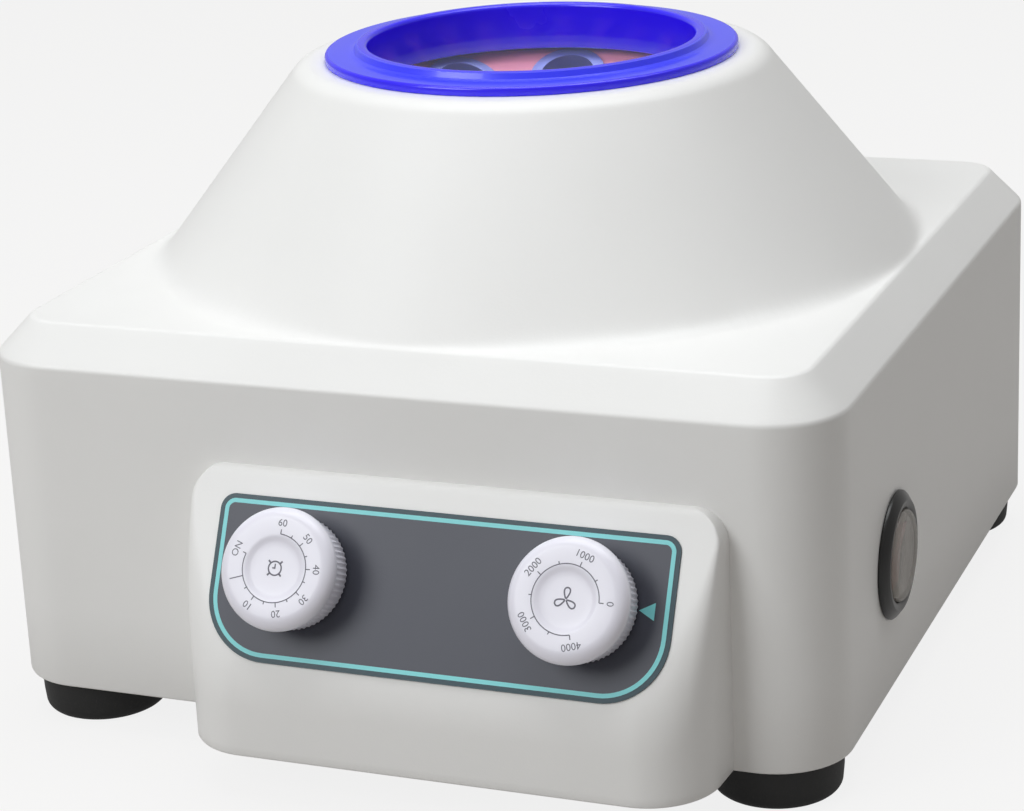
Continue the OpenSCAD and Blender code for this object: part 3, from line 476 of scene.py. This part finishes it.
def clock_sign():
    """A small clock: a ring, two hands and four short ears."""
    ring = strip([polar(1.9, a) for a in np.linspace(0, 360, 37)], 0.42, SIGN_Z)
    hands = [strip([(0, -0.1), (0, 1.25)], 0.36, SIGN_Z), strip([(0.15, 0), (-0.8, 0.1)], 0.36, SIGN_Z)]
    ears = [strip([polar(2.05, a), polar(2.9, a)], 0.5, SIGN_Z) for a in (45, 135, 225, 315)]
    return [ring] + hands + ears


def fan_sign():
    """A small fan: three blades, each a drop whose width is a sine that grows along the blade."""
    t = np.linspace(0, 2 * np.pi, 33)
    share = (1 - np.cos(t)) / 2
    blade = np.column_stack([0.3 + 2.9 * share, 1.15 * np.sin(t) * (0.3 + 0.7 * share)])
    turns = [(math.cos(a), math.sin(a)) for a in np.radians((85, 205, 325))]
    return [strip(blade @ np.array([[c, s], [-s, c]]), 0.42, SIGN_Z) for c, s in turns]


minutes = [(TIMER_ZERO + v / 60 * TIMER_SWEEP, v) for v in range(5, 61, 5)]
ticks = [(TIMER_ON, ON_TICK), (TIMER_ZERO, ZERO_TICK)]
ticks += [(a, SHORT_TICK if v % 10 else LONG_TICK) for a, v in minutes]
words = [("ON", TIMER_ON)] + [(str(v), a) for a, v in minutes if v % 10 == 0]
points, faces = dial_print(TIMER_ON, TIMER_ZERO + TIMER_SWEEP, ticks, words, clock_sign())
add_piece("timer_scale", placed(points, on_panel(-KNOB_X)), faces, [print_grey], "timer_dial", ())
turns = [(v / SPEED_TOP * SPEED_SWEEP, v) for v in range(0, SPEED_TOP + 1, 500)]
ticks = [(a, SHORT_TICK if v % 1000 else LONG_TICK) for a, v in turns]
words = [(str(v), a) for a, v in turns if v % 1000 == 0]
points, faces = dial_print(0, SPEED_SWEEP, ticks, words, fan_sign())
add_piece("speed_scale", placed(points, on_panel(KNOB_X)), faces, [print_grey], "speed_dial", ())

# Lid
# A blue moulded ring with a clear acrylic disc in it. It drops into the cone's mouth on a spigot.

LID_R, LID_IN_R, RIDGE_R = 62.6, 49.6, 54.6
SPIGOT_R, SPIGOT_IN_R, SEAT_R = 59.2, 57.2, 51.8
FLANGE_Z = CONE_TOP_Z + 2.7
RIDGE_Z = FLANGE_Z + 2.2
SPIGOT_Z, LID_WALL_Z = CONE_TOP_Z - 7.0, CONE_TOP_Z - 9.6
WINDOW_Z, WINDOW_T = CONE_TOP_Z - 7.5, 2.0
HOLLOW_Z = FLANGE_Z - 1.2  # top of the hollow under the flange
LIP_R, FLANGE_EDGE_R, RIDGE_EDGE_R = 0.3, 1.0, 1.3
REST_Z = CONE_TOP_Z + 0.02
LID_COUNT = 256

# Glossy plastic coloured in the mass. The standing walls and the ridge's inner slope get a deeper, more
# violet copy of the same blue: painted shade, for faces in the ring's own shade.
lid_blue = finish("moulded_blue_plastic", "3A40FA", 0.3, bump=0.05, coat=0.3)
lid_painted_shade = finish("moulded_blue_plastic_painted_shade", "2A12FA", 0.25, bump=0.03, coat=0.3)


def revolve(profile, count):
    """A profile of (radius, height) turned about +Z: x = r cos t, y = r sin t, z = height."""
    radius, height = np.array(profile).T
    turn = np.arange(count) * 2 * np.pi / count
    x, y = np.outer(radius, np.cos(turn)), np.outer(radius, np.sin(turn))
    points = np.stack([x, y, np.broadcast_to(height[:, None], x.shape)], -1)
    return points.reshape(-1, 3), ring_faces(len(profile), count)


def lid_profile():
    """(radius, height) round the ring: the spigot, the flange, the ridge and the well round the window."""
    profile = [(SPIGOT_IN_R, HOLLOW_Z), (SPIGOT_IN_R, SPIGOT_Z), (SPIGOT_R, SPIGOT_Z), (SPIGOT_R, REST_Z),
               (LID_R - LIP_R, REST_Z)]
    profile += arc((LID_R - LIP_R, REST_Z + LIP_R), LIP_R, -90, 0, 3)
    profile += arc((LID_R - FLANGE_EDGE_R, FLANGE_Z - FLANGE_EDGE_R), FLANGE_EDGE_R, 0, 90, 6)
    profile += [(RIDGE_R + 1.4, FLANGE_Z), (RIDGE_R + 0.6, FLANGE_Z + 0.03), (RIDGE_R, FLANGE_Z + 0.14),
                (RIDGE_R - 0.8, FLANGE_Z + 0.42), (RIDGE_R - 1.5, RIDGE_Z - 0.2),
                (RIDGE_R - 2.1, RIDGE_Z - 0.04)]
    profile += arc((LID_IN_R + RIDGE_EDGE_R, RIDGE_Z - RIDGE_EDGE_R), RIDGE_EDGE_R, 90, 180, 10)
    profile += [(LID_IN_R, WINDOW_Z + WINDOW_T), (LID_IN_R, WINDOW_Z), (LID_IN_R, LID_WALL_Z + 0.4),
                (LID_IN_R + 0.4, LID_WALL_Z), (SEAT_R - 0.4, LID_WALL_Z), (SEAT_R, LID_WALL_Z + 0.4)]
    return profile + [(SEAT_R, HOLLOW_Z), (SPIGOT_IN_R, HOLLOW_Z)]


profile = lid_profile()
points, faces = revolve(profile, LID_COUNT)
lid = add_piece("lid_ring", points, faces, [lid_blue, lid_painted_shade], "lid", ["lid_rim"], smooth=35)
# Faces below the flange's top and inside the ridge take the blue copy with painted shade.
painted_shade_faces = [min(p[1], q[1]) <= FLANGE_Z - 0.01 or max(p[0], q[0]) <= RIDGE_R - 1.6
           for p, q in zip(profile, profile[1:])]
lid.data.polygons.foreach_set("material_index", np.repeat(painted_shade_faces, LID_COUNT).astype(int).tolist())

# Feet
# Round moulded rubber feet with a soft edge and a screw down a recess in the sole.

FOOT_R, PLATE_Z, RECESS_R, SOLE_R = 18.8, 16.0, 6.0, 3.2

# Rubber swallows the light: near black and matt, with a coarse moulded grain.
rubber_black = finish("moulded_black_rubber", "0C0C0C", 0.62, vary=0.15, bump=0.3, grain_mm=0.833)

profile = [(2.0, 6.0), (RECESS_R, 6), (RECESS_R, 0.6), (RECESS_R + 0.5, 0)]
profile += arc((FOOT_R - 3.6, SOLE_R), SOLE_R, -90, 0)
profile += [(FOOT_R - 0.1, 6.5), (FOOT_R, 10), (FOOT_R - 0.2, PLATE_Z - 0.8), (FOOT_R - 1, PLATE_Z),
            (2.0, PLATE_Z)]
points, faces = revolve(profile, 96)
for side_x, side_y, name in [(-1, -1, "foot_front_left"), (1, -1, "foot_front_right"),
                             (-1, 1, "foot_rear_left"), (1, 1, "foot_rear_right")]:
    centre = np.array([side_x, side_y, 0]) * (BODY_HALF - CORNER_R)
    add_piece(name + "_rubber", points + centre, faces, [rubber_black], "base", [name])

# Switch
# A round rocker switch: black bevelled bezel, red rocker, and a translucent grey splash cover.

SWITCH_Y, SWITCH_Z = -61.0, 53.5
BEZEL_R, BEZEL_H, BOOT_R, BOOT_RISE = 18.5, 3.0, 13.3, 1.0
COVER_EDGE_R, COVER_IN_R, COVER_T = 1.8, 12.5, 0.65

# Glass-filled nylon from a smooth mould: black with a clear, narrow gloss.
plastic_black = finish("moulded_black_plastic", "0A0A0B", 0.32, vary=0.1, bump=0.08)
# Soft silicone, milky enough to turn the red rocker behind it into a grey shade.
boot_grey = finish("translucent_grey_cover", "C4BFB8", 0.22, alpha=0.45)

on_switch = Matrix(((0, 0, 1, BODY_HALF), (1, 0, 0, SWITCH_Y), (0, 1, 0, SWITCH_Z), (0, 0, 0, 1)))
seat_r = BOOT_R + 0.05
profile = [(seat_r, 0.1), (BEZEL_R - 0.2, 0.1), (BEZEL_R, 0.3), (BEZEL_R, 0.9), (BEZEL_R - 0.5, 1.5),
           (BEZEL_R - 1.6, 2.3)]
profile += arc((BOOT_R + 2.4, BEZEL_H - 0.8), 0.8, 70, 100, 3)
profile += [(BOOT_R + 1.2, BEZEL_H - 0.1), (BOOT_R + 0.4, BEZEL_H - 0.5), (seat_r, BEZEL_H - 1.1),
            (seat_r, 0.1)]
points, faces = revolve(profile, 128)
add_piece("switch_ring", placed(points, on_switch), faces, [plastic_black], "base", ["switch_bezel"])
top = BEZEL_H + BOOT_RISE
profile = [(COVER_IN_R, 0.2), (BOOT_R, 0.2), (BOOT_R, BEZEL_H - 0.9)]
profile += arc((BOOT_R - COVER_EDGE_R, top - COVER_EDGE_R), COVER_EDGE_R, 0, 90)
profile += [(9.0, top), (8.6, top - 0.12), (5, top - 0.15), (0.01, top - 0.15), (0.01, top - 0.15 - COVER_T),
            (10.6, top - 0.15 - COVER_T), (COVER_IN_R, 2.0), (COVER_IN_R, 0.2)]
points, faces = revolve(profile, 128)
add_piece("switch_cover", placed(points, on_switch), faces, [boot_grey], "base", ["switch_boot"])

# Rotor, window and what lies inside
# These pieces keep the solids' own meshes. Each takes the finish of the real one, from the enamelled
# rotor and its anodised sleeves to the motor's wire, plates and brass under the guard bowl.

finishes = {
    # Acrylic sheet: hardly there but for its gloss.
    finish("clear_acrylic", "F2F6FA", 0.05, vary=0.0, rough_vary=0.01, alpha=0.04): ["lid_window"],
    # Baked enamel over a cast rotor: pink, with a soft gloss and the casting's slow waves.
    finish("pink_enamel", "FFA3B8", 0.35, vary=0.05, bump=0.1, grain_mm=3.33, coat=0.3): ["rotor_body"],
    # Anodised aluminium tube: a pale blue that still reflects as a metal.
    finish("anodised_sleeve", "9CA8E2", 0.32, metallic=0.7, vary=0.06, bump=0.08):
        ["tube_sleeve_%d" % i for i in range(1, 9)],
    # Zinc plate over turned or pressed steel: a grey, half-sharp mirror.
    finish("plated_steel", "B5B5B5", 0.3, metallic=1.0, vary=0.06, bump=0.05):
        ["base_screws", "foot_screws", "bowl_screws", "damper_screws", "motor_can", "shaft_bearings",
         "motor_shaft", "rotor_washer", "timer_body", "timer_shaft", "speed_shaft", "panel_nuts",
         "board_pillars"],
    # Drawn stainless sheet: brighter than the plated steel and a little duller in gloss.
    finish("drawn_stainless_steel", "B9BBBE", 0.35, metallic=1.0, vary=0.05): ["guard_bowl"],
    # Powder coat with its orange-peel tooth, light grey.
    finish("powder_coated_plate", "C9C9C4", 0.5, bump=0.3): ["base_plate"],
    # Brushed-on enamel over the bracket's bent sheet.
    finish("grey_painted_steel", "5A5C60", 0.45, vary=0.05, bump=0.2): ["motor_bracket"],
    # Aluminium as it leaves the press: a soft grey metal.
    finish("extruded_aluminium", "8E9094", 0.4, metallic=0.9, vary=0.06):
        ["motor_top_cap", "drive_collar", "board_parts"],
    # Punched electrical sheet in a stack: dark, with fine layers.
    finish("stacked_laminations", "4A4A4D", 0.5, metallic=0.9, vary=0.15, bump=0.4, grain_mm=0.556):
        ["stator_core", "armature_core"],
    # Copper wire under amber varnish, wound so that the turns roughen the surface.
    finish("enamelled_copper_wire", "9A4A22", 0.35, metallic=0.7, vary=0.15, bump=0.6, grain_mm=0.667):
        ["field_coils", "armature_windings"],
    # Brass with a thin bright plating.
    finish("plated_brass", "C9A75B", 0.3, metallic=1.0, vary=0.08): ["commutator", "inlet_pins"],
    # Brown phenolic moulding, dull and a little uneven.
    finish("moulded_phenolic", "6B4A25", 0.5, vary=0.1, bump=0.2): ["brush_holders", "speed_control"],
    # Pressed carbon: black dust held together, with no gloss.
    finish("pressed_carbon", "181818", 0.7, vary=0.2, bump=0.3): ["carbon_brushes"],
    # Unpainted nylon: a warm, waxy off-white.
    finish("moulded_nylon", "D8D4C4", 0.45): ["cooling_fan"],
    # Glass-epoxy board under green solder mask.
    finish("glass_epoxy_board", "1E5A33", 0.4, vary=0.08, bump=0.1): ["control_board"],
    # Red plastic from a polished mould.
    finish("moulded_red_plastic", "B01515", 0.3, vary=0.06): ["switch_rocker"],
    rubber_black: ["bracket_dampers", "lid_seal"],
    plastic_black: ["rotor_nut", "switch_body", "power_inlet", "fuse_holder", "fuse_cap"],
}
for material, names in finishes.items():
    for name in names:
        mesh = nodes[name].data
        mesh.materials.clear()
        mesh.materials.append(material)
        mesh.polygons.foreach_set("use_smooth", [True] * len(mesh.polygons))
        mesh.set_sharp_from_angle(angle=math.radians(35))

# Floor and backdrop
# A pale sheet of paper that keeps the object's shadow, under an even studio white. The white is
# there where the camera looks, in clear glass, and a little in gloss, but hardly lights the object.

GLOSS_SHARE = 0.35  # how much of the white ground shows in gloss
FLOOR_SHOWN, WORLD_SHOWN, WORLD_LIT = 0.85, 1.0, 0.18


def white_where_seen(tree, shown, lit):
    """lit + (shown - lit) times the largest of three: camera ray, transmission ray, a share of glossy ray."""
    ray = add_node(tree, "LightPath", {}).outputs
    seen = add_node(tree, "Math", {0: ray["Is Glossy Ray"], 1: GLOSS_SHARE}, operation="MULTIPLY").outputs[0]
    for kind in ("Is Camera Ray", "Is Transmission Ray"):
        seen = add_node(tree, "Math", {0: ray[kind], 1: seen}, operation="MAXIMUM").outputs[0]
    return add_node(tree, "MapRange", {"Value": seen, "To Min": lit, "To Max": shown}).outputs["Result"]


bpy.ops.mesh.primitive_plane_add(size=6)
floor = bpy.context.object
floor.name = "floor"
floor_paper = finish("pale_floor", "B4B0AC", 0.8, vary=0.0)
tree = floor_paper.node_tree
glow = add_node(tree, "Emission", {})
mix = add_node(tree, "MixShader", {0: white_where_seen(tree, FLOOR_SHOWN, 0.0),
                                   1: tree.nodes["Principled BSDF"].outputs["BSDF"], 2: glow.outputs[0]})
tree.links.new(mix.outputs[0], tree.nodes["Material Output"].inputs["Surface"])
floor.data.materials.append(floor_paper)

world = bpy.data.worlds.new("studio")
bpy.context.scene.world = world
world.use_nodes = True
tree = world.node_tree
background = tree.nodes["Background"].inputs
background["Color"].default_value = (1, 0.985, 0.97, 1)
tree.links.new(white_where_seen(tree, WORLD_SHOWN, WORLD_LIT), background["Strength"])

# Lamps
# Three square soft boxes: one nearly overhead, a broad one from the front left and a weak one that
# lifts the right wall. Places are in metres.

LAMP_WHITE = (0.96, 0.985, 1.0)
for name, place, size, watts in [("top_softbox", (-0.1, 0.05, 1.4), 1.1, 10.8),
                                 ("front_softbox", (-0.75, -1.3, 1.1), 0.9, 14.0),
                                 ("right_softbox", (0.5, 0.3, 1.35), 0.7, 3.4)]:
    data = bpy.data.lights.new(name, "AREA")
    data.shape, data.size, data.energy, data.color = "SQUARE", size, watts, LAMP_WHITE
    lamp = bpy.data.objects.new(name, data)
    lamp.location = place
    lamp.rotation_euler = (Vector((0, 0, 0.1)) - Vector(place)).to_track_quat("-Z", "Y").to_euler()
    bpy.context.scene.collection.objects.link(lamp)

# Camera
# It stands where the photograph was taken from: turned about the upright, looking down, and rolled.

YAW, PITCH, ROLL = math.radians(22.048), math.radians(18.643), math.radians(-2.639)
STAND = (318.13, -810.42, 361.6)
LENS_MM, SENSOR_MM, SIDE_SHIFT = 102.4, 36, -0.0049

right = Vector((math.cos(YAW), math.sin(YAW), 0))
back = Vector((math.sin(YAW) * math.cos(PITCH), -math.cos(YAW) * math.cos(PITCH), math.sin(PITCH)))
above = back.cross(right)
across = right * math.cos(ROLL) + above * math.sin(ROLL)
upward = above * math.cos(ROLL) - right * math.sin(ROLL)
camera_data = bpy.data.cameras.new("photo_camera")
camera_data.lens, camera_data.sensor_width, camera_data.shift_x = LENS_MM, SENSOR_MM, SIDE_SHIFT
camera = bpy.data.objects.new("photo_camera", camera_data)
turned = Matrix((across, upward, back)).transposed().to_4x4()
turned.translation = (Vector(STAND) + Vector((AXIS_X, AXIS_Y, 0))) * MM
camera.matrix_world = turned
bpy.context.scene.collection.objects.link(camera)
bpy.context.scene.camera = camera
bpy.context.scene.view_settings.view_transform = "Standard"
